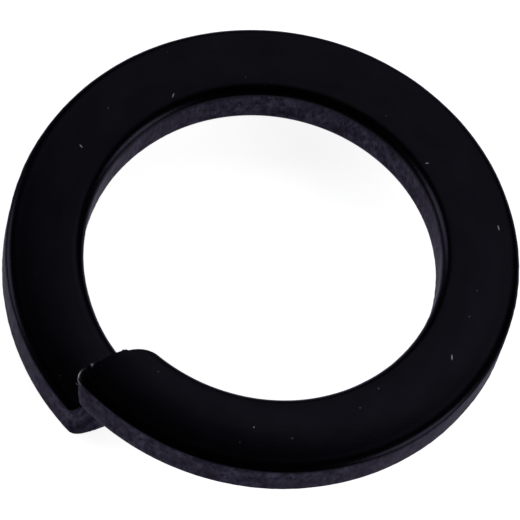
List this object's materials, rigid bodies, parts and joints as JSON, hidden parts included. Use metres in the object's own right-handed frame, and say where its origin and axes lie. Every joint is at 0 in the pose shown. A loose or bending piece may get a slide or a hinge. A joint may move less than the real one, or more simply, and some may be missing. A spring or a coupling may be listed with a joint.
{
  "type": "spring lock washer",
  "caption": "Split spring lock washer: a narrow ring of flat spring wire, coiled so that its raised end stands over its low end.",
  "frame": {"origin": "on the bore's axis, level with the lowest point of the low end's underside", "axes": "+Z along the bore's axis towards the raised end; the split faces +X; seen from +Z the wire climbs clockwise from the low end to the raised end"},
  "size_m": [0.0176, 0.0176, 0.0045],
  "materials": {
    "blackened_steel": "black oxide on spring steel, satin, with a mottled grain on the walls"
  },
  "bodies": {
    "root": {"lock_washer": "blackened_steel"}
  },
  "joints": []
}
